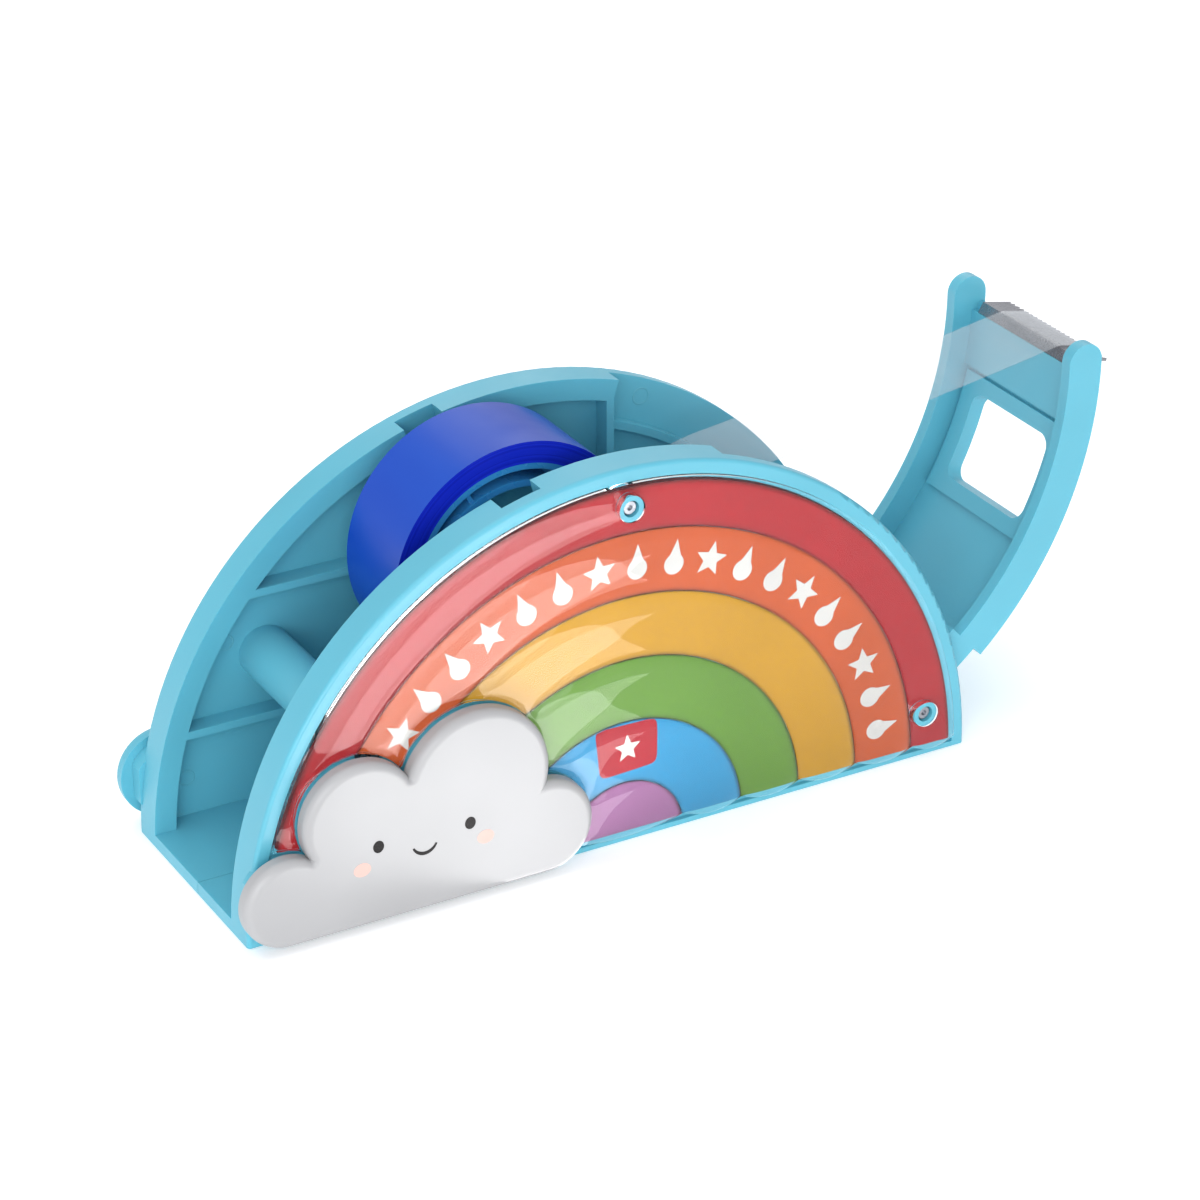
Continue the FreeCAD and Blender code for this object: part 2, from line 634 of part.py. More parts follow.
def make_screws():
    long_ones = [
        screw(f"case_screw{index}", "screw_radius", "head_radius", "head_height", "screw_length",
              place, f"{FACE} + recess_depth + head_sink")
        for index, place in enumerate(CASE_SCREWS)]
    keep("case_screws", fuse("case_screw_set", *long_ones))
    small = [
        screw(f"cover_screw_body{index}", "small_screw_radius", "small_head_radius", "small_head_height",
              "cover_screw_length", place, f"{FACE} - boss_stand + head_recess")
        for index, place in enumerate(COVER_SCREWS)]
    copies = [mirrored(f"rear_cover_screw{index}", one) for index, one in enumerate(small)]
    keep("cover_screws", fuse("cover_screw_set", *small, *copies))


# ------------------------------------------------------------------ roll and spindle

def make_spindle():
    axle_end = f"(-{INNER} - axle_end_gap)"
    half = [
        ("hub_radius - hub_rim", "hub_web"), ("hub_radius - hub_rim", "hub_half_width"),
        ("hub_radius", "hub_half_width"),
    ]
    right = [("axle_radius", axle_end), ("axle_radius", "hub_web")] + half
    corners = [("0", axle_end)] + right + [(x, f"-({y})") for x, y in reversed(right)]
    corners.append(("0", f"-{axle_end}"))
    keep("spindle", turned("spindle_body", corners, ROLL))


def make_core():
    inner = "(hub_radius + core_gap)"
    half = [
        (f"{inner} + core_ring", "tape_width / 2"), (f"{inner} + core_ring", "core_web"),
        ("core_radius - core_rim", "core_web"), ("core_radius - core_rim", "tape_width / 2"),
        ("core_radius", "tape_width / 2"),
    ]
    corners = [(inner, "tape_width / 2")] + half
    corners += [(x, f"-({y})") for x, y in reversed(half)] + [(inner, "-tape_width / 2")]
    body = turned("tape_core_body", corners, ROLL)
    doc.recompute()
    rib = new_sketch(body, "core_rib", "XZ_Plane")
    low, high = f"{inner} + core_ring / 2", "core_radius - core_rim / 2"
    side, far_side = "-core_rib / 2", "core_rib / 2"
    outline(rib, [(low, side), (high, side), (high, far_side), (low, far_side)])
    ribs = pad(body, rib, "tape_width - 2 * core_rib_inset", both_ways=True)
    ring = body.newObject("PartDesign::PolarPattern", "core_ribs")
    ring.Originals = [ribs]
    ring.Axis = ([item for item in body.Origin.OriginFeatures if item.Role == "Y_Axis"][0], [""])
    ring.Angle = 360
    ring.Occurrences = 6
    body.Tip = ring
    keep("tape_core", body)


def make_winding():
    half = [("core_radius", "tape_width / 2"), ("roll_radius", "tape_width / 2")]
    corners = half + [(x, f"-({y})") for x, y in reversed(half)]
    keep("tape_winding", turned("tape_winding_body", corners, ROLL))


# ------------------------------------------------------------------ arm and blade

def opened(x, z):
    """Where a point of the folded arm is when the arm is open."""
    return (
        f"(pivot_x + (({x}) - pivot_x) * cos(open_angle) + (({z}) - pivot_z) * sin(open_angle))",
        f"(pivot_z - (({x}) - pivot_x) * sin(open_angle) + (({z}) - pivot_z) * cos(open_angle))",
    )


BEND = ("(blade_radius * cos(blade_angle))", "(blade_radius * sin(blade_angle))")


def arm_side(name, y):
    """One side wall of the folded arm: the curved band, the foot, the pivot end and the ear."""
    ear = "((rim_radius - arm_inner) / 2)"
    ear_middle = "((rim_radius + arm_inner) / 2)"
    band = sector(f"{name}_band", ("arm_inner", "rim_radius"), y, ("foot_start", "ear_end"))
    foot = sector(
        f"{name}_foot", ("arm_inner - 2", "rim_radius - foot_step"), y, ("foot_start - 9", "foot_start"))
    tip = disc(f"{name}_tip", ear, y, (f"{ear_middle} * cos(ear_end)", f"{ear_middle} * sin(ear_end)"))
    return fuse(name, band, foot, tip, disc(f"{name}_end", "pivot_boss", y, PIVOT))


def rounded_window():
    """The window tool: a bar through the web with four rounded corners."""
    middle = "((window_low + window_high) / 2)"
    side = "(rim_radius * sin((window_high - window_low) / 2))"
    tool = bar("window_bar", middle, ("arm_inner", "rim_radius + 2"), (f"-{side}", side),
               ("-window_half", "window_half"))
    doc.recompute()
    length = tool.Length.Value
    return rounded("window_tool", tool, "window_round", lambda edge: (
        abs(edge.Length - length) < 1e-6 and edge.BoundBox.YLength < 1e-6))


def make_arm():
    side_y = ("-arm_side", "-arm_inside")
    near = arm_side("arm_near", side_y)
    web_in = "(rim_radius - arm_web)"
    inside = ("-arm_inside", "arm_inside")
    web = sector("arm_web_main", (web_in, "rim_radius"), inside, ("foot_start", "blade_angle + 2"))
    web_foot = sector("arm_web_foot", (f"{web_in} - foot_step", "rim_radius - foot_step"), inside,
                      ("foot_end", "foot_start + 1.5"))
    seat = sector("arm_seat", ("rim_radius - seat_wall", "rim_radius"), inside,
                  ("seat_start", "blade_angle + 2"))
    frame = sector(
        "arm_frame", (f"{web_in} - frame_height", "rim_radius"), ("-frame_half", "frame_half"),
        ("window_low - frame_margin", "window_high + frame_margin"))
    shelf = fuse("arm_shelf", web, seat)
    lean = "blade_angle - blade_tilt"
    above = bar("arm_above_blade", lean, (f"-{REACH}", REACH), ("-blade_wall - blade_gap", REACH),
                inside, BEND)
    rebate = bar("arm_lip_rebate", lean, (f"-{REACH}", "blade_wall + blade_gap"),
                 ("-blade_lip - blade_gap", REACH), inside, BEND)
    shelf = cut("arm_shelf_cut", shelf, above, rebate)
    stubs = [
        disc("stub_near", "stub_radius", ("-arm_side - stub_length", "-arm_side"), PIVOT),
        disc("stub_far", "stub_radius", ("arm_side", "arm_side + stub_length"), PIVOT),
    ]
    solid = fuse("arm_solid", near, mirrored("arm_far", near), shelf, web_foot, frame, *stubs)
    arm = cut("arm_body", solid, rounded_window())
    arm.Placement = Placement(Vector(), Rotation(Vector(0, 1, 0), 1))
    base = opened("0", "0")
    bind(arm, {
        "Placement.Rotation.Angle": "open_angle",
        "Placement.Base.x": base[0],
        "Placement.Base.z": base[1],
    })
    keep("arm", arm)


def make_blade():
    """A bent steel strip: local X runs from the bend to the teeth, local Z is up."""
    body = new_body("blade_body")
    profile = new_sketch(body, "blade_profile", "XZ_Plane")
    outline(profile, [
        ("-0.35 * blade_lip", "-blade_lip"), ("blade_wall - 0.35 * blade_lip", "-blade_lip"),
        ("blade_wall", "-blade_wall"), ("blade_reach", "-blade_wall"), ("blade_reach", "0"), ("0", "0"),
    ])
    pad(body, profile, "blade_width", both_ways=True)
    doc.recompute()
    notch = new_sketch(body, "tooth_gap", "XY_Plane", "1")
    first = "(-blade_width / 2)"
    outline(notch, [
        ("blade_reach + 1", f"{first} - 0.1"), ("blade_reach + 0.01", f"{first} + 0.1"),
        ("blade_reach - tooth_depth", f"{first} + tooth_pitch / 2"),
        ("blade_reach + 0.01", f"{first} + tooth_pitch - 0.1"),
        ("blade_reach + 1", f"{first} + tooth_pitch + 0.1"),
    ])
    gap = body.newObject("PartDesign::Pocket", "tooth_pocket")
    gap.Profile = notch
    gap.Type = "Length"
    gap.Length = 3
    teeth = body.newObject("PartDesign::LinearPattern", "teeth")
    teeth.Originals = [gap]
    teeth.Direction = (notch, ["V_Axis"])
    bind(teeth, {
        "Occurrences": "round(blade_width / tooth_pitch)",
        "Length": "(round(blade_width / tooth_pitch) - 1) * tooth_pitch",
    })
    body.Tip = teeth
    body.Placement = Placement(Vector(), Rotation(Vector(0, 1, 0), 1))
    base = opened(*BEND)
    bind(body, {
        "Placement.Rotation.Angle": "open_angle - blade_angle + blade_tilt",
        "Placement.Base.x": base[0],
        "Placement.Base.z": base[1],
    })
    keep("blade", body)


# ------------------------------------------------------------------ strip of tape

def make_strip():
    """The strip of tape from the roll to the blade: a bend, a straight run and an end on the blade."""
    off = "(roll_radius + film_gap + film_wall)"
    start = (f"({ROLL_X} + {off} * sin(film_leave))", f"({ROLL_Z} - {off} * cos(film_leave))")
    join = (
        f"({start[0]} + film_bend * (sin(film_leave) - sin(film_slope)))",
        f"({start[1]} + film_bend * (cos(film_slope) - cos(film_leave)))",
    )
    bend = opened(*BEND)
    lean = "(open_angle - blade_angle + blade_tilt)"
    kink = (
        f"({bend[0]} + film_gap * sin({lean}))",
        f"({bend[1]} + film_gap * cos({lean}))",
    )
    run = "(blade_reach - tooth_depth)"
    end = (f"({kink[0]} + {run} * cos({lean}))", f"({kink[1]} - {run} * sin({lean}))")

    def above(point, angle):
        return (f"{point[0]} - film_wall * sin({angle})", f"{point[1]} + film_wall * cos({angle})")

    middle = f"((film_slope - {lean}) / 2)"
    corners = [
        (*start, "film_bend", "right"), join, kink, end,
        above(end, f"-{lean}"), above(kink, middle),
        (*above(join, "film_slope"), "film_bend + film_wall", "left"), above(start, "film_leave"),
    ]
    body = new_body("tape_strip_body")
    sketch = new_sketch(body, "strip_profile", "XZ_Plane")
    outline(sketch, corners)
    pad(body, sketch, "tape_width", both_ways=True)
    keep("tape_strip", body)


# ------------------------------------------------------------------ build

def check_document():
    for thing in doc.Objects:
        if "Invalid" in thing.State or "Error" in thing.State:
            raise RuntimeError(f"{thing.Name} did not recompute: {thing.State}")
    for node, thing in NODES.items():
        if thing.Shape.isNull() or not thing.Shape.isValid() or not thing.Shape.Solids:
            raise RuntimeError(f"{node} has no valid solid")


def write_parts():
    os.makedirs("parts", exist_ok=True)
    for node, thing in NODES.items():
        thing.Shape.exportStep(os.path.join("parts", f"{node}.step"))


def main():
    fill_sheet()
    make_shells()
    make_bands()
    make_covers()
    make_clouds()
    make_screws()
    make_spindle()
    make_core()
    make_winding()
    make_arm()
    make_blade()
    make_strip()
    doc.recompute()
    check_document()
    for node, thing in NODES.items():
        print(f"{node}: {len(thing.Shape.Solids)} solid, volume {thing.Shape.Volume:.1f}")
    write_parts()


main()
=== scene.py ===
import math

import bmesh
import bpy
from mathutils import Matrix, Vector


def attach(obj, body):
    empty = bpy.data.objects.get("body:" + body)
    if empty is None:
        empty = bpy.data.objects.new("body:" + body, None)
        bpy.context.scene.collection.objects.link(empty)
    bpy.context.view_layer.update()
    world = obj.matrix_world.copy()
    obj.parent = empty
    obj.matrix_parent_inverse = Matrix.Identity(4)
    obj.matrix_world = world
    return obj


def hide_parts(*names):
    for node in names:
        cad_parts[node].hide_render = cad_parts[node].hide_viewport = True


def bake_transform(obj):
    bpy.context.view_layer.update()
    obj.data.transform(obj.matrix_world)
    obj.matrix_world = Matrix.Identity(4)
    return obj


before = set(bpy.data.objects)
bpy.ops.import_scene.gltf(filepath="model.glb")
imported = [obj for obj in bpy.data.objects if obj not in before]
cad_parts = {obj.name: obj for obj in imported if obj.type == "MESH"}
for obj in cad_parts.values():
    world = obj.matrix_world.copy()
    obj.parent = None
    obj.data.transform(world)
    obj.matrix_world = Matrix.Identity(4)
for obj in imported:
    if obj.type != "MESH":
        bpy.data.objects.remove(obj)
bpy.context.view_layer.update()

# Lengths below are in millimetres in the row frame; MM turns them into metres.
MM = 0.001
FACE = -18.75           # outer face of the front shell
INNER = -16.4           # inner face of the front shell's plate
BAND_TOP = FACE + 0.15  # outer face of the colour bands
BAND_EDGES = [10, 20, 30, 40, 50, 56.8]
CREASE_SHADE_WIDTH = 0.7         # width of the painted crease shade along the edges of a band
CLOUD_FACE = FACE - 4.1
# The cloud's outline: round lobes as (x, z, radius) and blocks between them as (left, right, low, high).
CLOUD_LOBES = [(-55.0, 7.7, 6.9), (-43.6, 17.8, 8.9), (-25.3, 18.7, 11.4), (-14.4, 8.3, 7.5)]
CLOUD_FILL = [(-55.0, -14.4, 0.8, 12.8), (-44.0, -20.0, 5.8, 18.8)]
ROLL = (-10.868, 42.327)
SCREWS = [(0.6, 54.2), (51.9, 7.7)]
SMOOTH_ANGLE = 35       # edges sharper than this many degrees stay sharp
# How wide the moulded edges of the CAD nodes are rounded.
SOFT_EDGES = {"front_shell": 0.35, "rear_shell": 0.35, "arm": 0.45, "spindle": 0.2, "tape_core": 0.15,
              "tape_winding": 0.12}
SOFT_ANGLE = 50         # only edges sharper than this many degrees are rounded


# ---------------------------------------------------------------- camera, light and floor

CAMERA_PLACE = (-242.937, -441.453, 289.622)
CAMERA_TARGET = (6.872, 0.0, 29.454)
CAMERA_LENS = 116.31

# Soft panels round the object, in metres: name, place, target, size and watts.
PANELS = [
    ("key_panel", (-0.75, -1.0, 0.55), (0, 0, 0.03), (0.9, 0.7), 8.0),
    ("top_panel", (-0.1, 0.15, 1.2), (0, 0, 0), (1.3, 1.1), 5.0),
    ("front_panel", (-0.35, -1.3, 0.24), (0, 0, 0.04), (1.4, 0.4), 4.6),
    ("back_panel", (0.6, 1.3, 0.8), (0, 0, 0.03), (1.2, 0.7), 3.0),
]
SKY_COLOUR = (0.93, 0.95, 1.0, 1.0)
SKY_STRENGTH = 0.66

# The low card that lights the gloss of the clear cover, in metres.
CARD_HEADING = 33.6     # degrees from straight ahead
CARD_START = (0.0025, -0.031, 0.0015)
CARD_AHEAD, CARD_ASIDE = 0.045, 0.026
CARD_SIZE = (0.05, 0.13)
CARD_POWER = 0.10

FLOOR_HALF = 3.0
FLOOR_DROP = 0.0001     # how far the floor lies under the object, so that no faces coincide
FLOOR_GLOW = 0.25


def aim(holder, place, target):
    """Put an object at a place, looking at a target."""
    holder.location = Vector(place)
    holder.rotation_mode = "QUATERNION"
    holder.rotation_quaternion = (Vector(target) - holder.location).to_track_quat("-Z", "Y")


def make_camera():
    camera = bpy.data.cameras.new("camera")
    camera.sensor_width = 36.0
    camera.lens = CAMERA_LENS
    camera.clip_start = 0.01
    camera.clip_end = 20.0
    holder = bpy.data.objects.new("camera", camera)
    bpy.context.scene.collection.objects.link(holder)
    aim(holder, Vector(CAMERA_PLACE) * MM, Vector(CAMERA_TARGET) * MM)
    bpy.context.scene.camera = holder


def area_light(name, place, target, size, power):
    light = bpy.data.lights.new(name, "AREA")
    light.shape = "RECTANGLE"
    light.size, light.size_y = size
    light.energy = power
    holder = bpy.data.objects.new(name, light)
    bpy.context.scene.collection.objects.link(holder)
    aim(holder, place, target)
    return holder


def make_studio():
    scene = bpy.context.scene
    world = bpy.data.worlds.new("studio")
    scene.world = world
    world.use_nodes = True
    sky = world.node_tree.nodes["Background"]
    sky.inputs["Color"].default_value = SKY_COLOUR
    sky.inputs["Strength"].default_value = SKY_STRENGTH
    scene.view_settings.view_transform = "Standard"
    for panel in PANELS:
        area_light(*panel)
    make_glare_card()


def make_glare_card():
    """A low reflector in front, which only shows in the gloss of the clear cover."""
    heading = math.radians(CARD_HEADING)
    along = Vector((math.sin(heading), -math.cos(heading), 0.0))
    across = Vector((-along.y, along.x, 0.0))
    middle = Vector(CARD_START) + along * CARD_AHEAD - across * CARD_ASIDE
    card = area_light("glare_card", middle, middle + Vector((0, 0, 1)), CARD_SIZE, CARD_POWER)
    card.rotation_quaternion = Matrix((across, along, across.cross(along))).transposed().to_quaternion()
    card.visible_camera = False
    card.visible_diffuse = False


def make_floor():
    half = FLOOR_HALF
    mesh = bpy.data.meshes.new("floor")
    mesh.from_pydata([(-half, -half, 0), (half, -half, 0), (half, half, 0), (-half, half, 0)], [],
                     [(0, 1, 2, 3)])
    floor = bpy.data.objects.new("floor", mesh)
    bpy.context.scene.collection.objects.link(floor)
    floor.location.z = -FLOOR_DROP
    material, tree, shader = principled("floor_card", (0.95, 0.95, 0.95), 0.7)
    shade(tree, shader, (0.94, 0.94, 0.945), (0.96, 0.96, 0.96), 6.0)
    shader.inputs["Emission Color"].default_value = (1.0, 1.0, 1.0, 1.0)
    shader.inputs["Emission Strength"].default_value = FLOOR_GLOW
    mesh.materials.append(material)


# ---------------------------------------------------------------- materials

# Sockets of a colour Mix node, which has others of the same names for numbers and vectors.
MIX_FIRST, MIX_SECOND, MIX_RESULT = 6, 7, 2


def principled(name, colour, rough, metallic=0.0):
    material = bpy.data.materials.new(name)
    material.use_nodes = True
    tree = material.node_tree
    shader = tree.nodes["Principled BSDF"]
    shader.inputs["Base Color"].default_value = (*colour, 1.0)
    shader.inputs["Roughness"].default_value = rough
    shader.inputs["Metallic"].default_value = metallic
    return material, tree, shader


def noise(tree, scale, detail=3.0, stretch=(1, 1, 1)):
    """A noise of so many features a metre, in the piece's own coordinates."""
    coords = tree.nodes.new("ShaderNodeTexCoord")
    mapping = tree.nodes.new("ShaderNodeMapping")
    mapping.inputs["Scale"].default_value = stretch
    texture = tree.nodes.new("ShaderNodeTexNoise")
    texture.inputs["Scale"].default_value = scale
    texture.inputs["Detail"].default_value = detail
    tree.links.new(coords.outputs["Object"], mapping.inputs["Vector"])
    tree.links.new(mapping.outputs["Vector"], texture.inputs["Vector"])
    return texture.outputs["Fac"]


def spread(tree, source, low, high, first=0.3, last=0.7):
    """A value from first to last spread over low to high."""
    ramp = tree.nodes.new("ShaderNodeMapRange")
    ramp.inputs["From Min"].default_value = first
    ramp.inputs["From Max"].default_value = last
    ramp.inputs["To Min"].default_value = low
    ramp.inputs["To Max"].default_value = high
    tree.links.new(source, ramp.inputs["Value"])
    return ramp.outputs["Result"]


def blend_colours(tree, factor, first, second):
    mix = tree.nodes.new("ShaderNodeMix")
    mix.data_type = "RGBA"
    for socket, colour in ((mix.inputs[MIX_FIRST], first), (mix.inputs[MIX_SECOND], second)):
        if hasattr(colour, "is_linked"):
            tree.links.new(colour, socket)
        else:
            socket.default_value = (*colour, 1.0)
    tree.links.new(factor, mix.inputs["Factor"])
    return mix.outputs[MIX_RESULT]


def shade(tree, shader, first, second, scale, detail=2.0):
    """Slow colour drift between two close colours."""
    drift = spread(tree, noise(tree, scale, detail), 0.0, 1.0)
    tree.links.new(blend_colours(tree, drift, first, second), shader.inputs["Base Color"])


def uneven_gloss(tree, shader, low, high, scale=120.0):
    tree.links.new(spread(tree, noise(tree, scale, 4.0), low, high), shader.inputs["Roughness"])


def bump(tree, shader, height, strength, distance):
    node = tree.nodes.new("ShaderNodeBump")
    node.inputs["Strength"].default_value = strength
    node.inputs["Distance"].default_value = distance
    tree.links.new(height, node.inputs["Height"])
    tree.links.new(node.outputs["Normal"], shader.inputs["Normal"])


def tint(colour, factor):
    return tuple(min(1.0, part * factor) for part in colour)


def moulded(name, colour, rough, grain=0.12, scatter=0.0):
    """Injection-moulded plastic: faint flow marks, uneven gloss and a fine spark-eroded grain."""
    material, tree, shader = principled(name, colour, rough)
    shade(tree, shader, tint(colour, 0.94), tint(colour, 1.05), 38.0)
    uneven_gloss(tree, shader, rough - 0.05, rough + 0.07)
    bump(tree, shader, noise(tree, 2600.0, 2.0), grain, 0.00006)
    if scatter:
        shader.inputs["Subsurface Weight"].default_value = scatter
        shader.inputs["Subsurface Radius"].default_value = (0.25, 0.8, 1.0)
        shader.inputs["Subsurface Scale"].default_value = 0.002
    return material


def distance_from(tree, coords, middle):
    """How far a place lies from a line along Y through a middle in the XZ plane, in metres."""
    centre = tree.nodes.new("ShaderNodeVectorMath")
    centre.operation = "SUBTRACT"
    centre.inputs[1].default_value = (middle[0] * MM, 0.0, middle[1] * MM)
    flat = tree.nodes.new("ShaderNodeVectorMath")
    flat.operation = "MULTIPLY"
    flat.inputs[1].default_value = (1.0, 0.0, 1.0)
    length = tree.nodes.new("ShaderNodeVectorMath")
    length.operation = "LENGTH"
    tree.links.new(coords.outputs["Object"], centre.inputs[0])
    tree.links.new(centre.outputs["Vector"], flat.inputs[0])
    tree.links.new(flat.outputs["Vector"], length.inputs[0])
    return length.outputs["Value"]


def painted_crease_shade(tree, limits):
    """Mask of the painted crease shade: 1 in the middle of a band, falling to 0 at its two edges."""
    coords = tree.nodes.new("ShaderNodeTexCoord")
    reach = distance_from(tree, coords, (0.0, 0.0))
    steps = []
    for edge, inside in ((limits[0], limits[0] + CREASE_SHADE_WIDTH), (limits[1], limits[1] - CREASE_SHADE_WIDTH)):
        steps.append(spread(tree, reach, 0.0, 1.0, edge * MM, inside * MM))
    both = tree.nodes.new("ShaderNodeMath")
    both.operation = "MULTIPLY"
    tree.links.new(steps[0], both.inputs[0])
    tree.links.new(steps[1], both.inputs[1])
    return both.outputs["Value"]


def printed(name, colour, limits=None):
    """Printed card under the clear cover: fine ink speckle over a slow drift, with painted crease shade
    at the edges.
    """
    material, tree, shader = principled(name, colour, 0.55)
    shader.inputs["Specular IOR Level"].default_value = 0.1
    drift = spread(tree, noise(tree, 55.0, 2.0), 0.0, 1.0)
    base = blend_colours(tree, drift, tint(colour, 0.93), tint(colour, 1.06))
    speck = spread(tree, noise(tree, 6000.0, 1.0), 0.0, 0.14, 0.45, 0.8)
    light = tuple(min(1.0, part * 0.8 + 0.12) for part in colour)
    ink = blend_colours(tree, speck, base, light)
    # Painted crease shade: along the band's two edges the colour is darkened towards 0.35 of the band's
    # colour.
    if limits:
        ink = blend_colours(tree, painted_crease_shade(tree, limits), tint(colour, 0.35), ink)
    tree.links.new(ink, shader.inputs["Base Color"])
    uneven_gloss(tree, shader, 0.5, 0.65, 400.0)
    return material


def through_lamps(material, tree, shader):
    """Let lamps shine through a clear shader."""
    out = tree.nodes["Material Output"]
    path = tree.nodes.new("ShaderNodeLightPath")
    clear = tree.nodes.new("ShaderNodeBsdfTransparent")
    mix = tree.nodes.new("ShaderNodeMixShader")
    tree.links.new(path.outputs["Is Shadow Ray"], mix.inputs["Fac"])
    tree.links.new(shader.outputs["BSDF"], mix.inputs[1])
    tree.links.new(clear.outputs["BSDF"], mix.inputs[2])
    tree.links.new(mix.outputs["Shader"], out.inputs["Surface"])
    return material


def clear_moulding():
    material, tree, shader = principled("clear_moulding", (0.99, 0.995, 1.0), 0.02)
    shader.inputs["Transmission Weight"].default_value = 1.0
    shader.inputs["IOR"].default_value = 1.32
    uneven_gloss(tree, shader, 0.01, 0.035, 90.0)
    return through_lamps(material, tree, shader)


def film_material():
    """Thin clear tape: it mirrors by Fresnel and has a faint milky haze with cross marks."""
    material, tree, shader = principled("clear_tape", (0.9, 0.93, 0.95), 0.12)
    uneven_gloss(tree, shader, 0.06, 0.16, 300.0)
    bump(tree, shader, noise(tree, 260.0, 2.0, (1.0, 0.12, 1.0)), 0.12, 0.0002)
    out = tree.nodes["Material Output"]
    clear = tree.nodes.new("ShaderNodeBsdfTransparent")
    clear.inputs["Color"].default_value = (0.930, 0.932, 0.935, 1.0)
    facing = tree.nodes.new("ShaderNodeLayerWeight")
    facing.inputs["Blend"].default_value = 0.5
    mirror = tree.nodes.new("ShaderNodeMath")
    mirror.operation = "POWER"
    mirror.inputs[1].default_value = 3.2
    tree.links.new(facing.outputs["Facing"], mirror.inputs[0])
    part = tree.nodes.new("ShaderNodeMath")
    part.operation = "MULTIPLY"
    part.inputs[1].default_value = 0.85
    tree.links.new(mirror.outputs["Value"], part.inputs[0])
    haze = spread(tree, noise(tree, 420.0, 3.0, (1.0, 0.08, 1.0)), 0.0, 0.025)
    add = tree.nodes.new("ShaderNodeMath")
    add.operation = "ADD"
    add.use_clamp = True
    tree.links.new(part.outputs["Value"], add.inputs[0])
    tree.links.new(haze, add.inputs[1])
    mix = tree.nodes.new("ShaderNodeMixShader")
    tree.links.new(add.outputs["Value"], mix.inputs["Fac"])
    tree.links.new(clear.outputs["BSDF"], mix.inputs[1])
    tree.links.new(shader.outputs["BSDF"], mix.inputs[2])
    tree.links.new(mix.outputs["Shader"], out.inputs["Surface"])
    return material


def wound_material():
    """The roll: glossy outside, fine rings where the layers show on its two sides."""
    material, tree, shader = principled("wound_tape", (0.006, 0.05, 0.4), 0.3)
    shader.inputs["Specular IOR Level"].default_value = 0.3
    coords = tree.nodes.new("ShaderNodeTexCoord")
    reach = distance_from(tree, coords, ROLL)
    rings = tree.nodes.new("ShaderNodeTexNoise")
    rings.noise_dimensions = "1D"
    rings.inputs["Scale"].default_value = 2600.0
    rings.inputs["Detail"].default_value = 3.0
    tree.links.new(reach, rings.inputs["W"])
    layers = spread(tree, rings.outputs["Fac"], 0.0, 1.0)
    normal = tree.nodes.new("ShaderNodeSeparateXYZ")
    tree.links.new(coords.outputs["Normal"], normal.inputs["Vector"])
    side = tree.nodes.new("ShaderNodeMath")
    side.operation = "ABSOLUTE"
    tree.links.new(normal.outputs["Y"], side.inputs[0])
    outside = blend_colours(tree, spread(tree, noise(tree, 70.0, 2.0, (1, 0.3, 1)), 0.0, 1.0),
                            (0.002, 0.045, 0.40), (0.005, 0.07, 0.48))
    edge = blend_colours(tree, layers, (0.002, 0.008, 0.34), (0.006, 0.02, 0.50))
    tree.links.new(blend_colours(tree, side.outputs["Value"], outside, edge), shader.inputs["Base Color"])
    uneven_gloss(tree, shader, 0.28, 0.4)
    bump(tree, shader, layers, 0.25, 0.00004)
    return material


def brushed(name, colour, rough, stretch):
    material, tree, shader = principled(name, colour, rough, metallic=1.0)
    lines = noise(tree, 900.0, 4.0, stretch)
    shade(tree, shader, tint(colour, 0.85), tint(colour, 1.1), 160.0)
    tree.links.new(spread(tree, lines, rough - 0.08, rough + 0.12), shader.inputs["Roughness"])
    bump(tree, shader, lines, 0.2, 0.00004)
    return material


BLUE = (0.11, 0.44, 0.56)
COLOURS = {
    "purple": (0.215, 0.09, 0.195),
    "blue": (0.014, 0.18, 0.34),
    "green": (0.072, 0.17, 0.016),
    "yellow": (0.36, 0.185, 0.004),
    "orange": (0.37, 0.060, 0.010),
    "red": (0.285, 0.005, 0.009),
}


def make_materials():
    made = {
        "body": moulded("body_plastic", BLUE, 0.36, scatter=0.15),
        "arm": moulded("arm_plastic", BLUE, 0.34, scatter=0.15),
        "spindle": moulded("spindle_plastic", tint(BLUE, 1.05), 0.34, scatter=0.15),
        "white": moulded("cloud_plastic", (0.395, 0.395, 0.40), 0.4, 0.08),
        "core": moulded("core_plastic", (0.03, 0.22, 0.50), 0.26, 0.06, scatter=0.3),
        "clear": clear_moulding(),
        "film": film_material(),
        "wound": wound_material(),
        "blade": brushed("blade_steel", (0.27, 0.27, 0.29), 0.3, (0.1, 4.0, 4.0)),
        "screw": brushed("screw_steel", (0.34, 0.35, 0.38), 0.28, (1.0, 1.0, 1.0)),
        "ink": printed("face_ink", (0.018, 0.016, 0.016)),
        "cheek": printed("cheek_ink", (0.80, 0.52, 0.46)),
        "mark": printed("mark_ink", (0.45, 0.45, 0.43)),
        "patch": printed("patch_ink", (0.26, 0.006, 0.014)),
    }
    inner = 0.0
    for (colour, base), outer in zip(COLOURS.items(), BAND_EDGES):
        made[colour] = printed(f"{colour}_print", base, (inner, outer))
        inner = outer
    return made


NODE_MATERIALS = {
    "front_shell": "body", "rear_shell": "body", "front_cloud": "white", "rear_cloud": "body",
    "case_screws": "screw", "cover_screws": "screw", "spindle": "spindle", "tape_core": "core",
    "tape_winding": "wound", "arm": "arm", "blade": "blade", "tape_strip": "film",
    "front_clear_cover": "clear", "rear_clear_cover": "clear",
}
for band in COLOURS:
    NODE_MATERIALS[f"front_{band}_band"] = band
    NODE_MATERIALS[f"rear_{band}_band"] = band


def paint_nodes(made):
    for node, key in NODE_MATERIALS.items():
        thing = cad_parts[node]
        thing.data.materials.clear()
        thing.data.materials.append(made[key])


# ---------------------------------------------------------------- mesh helpers

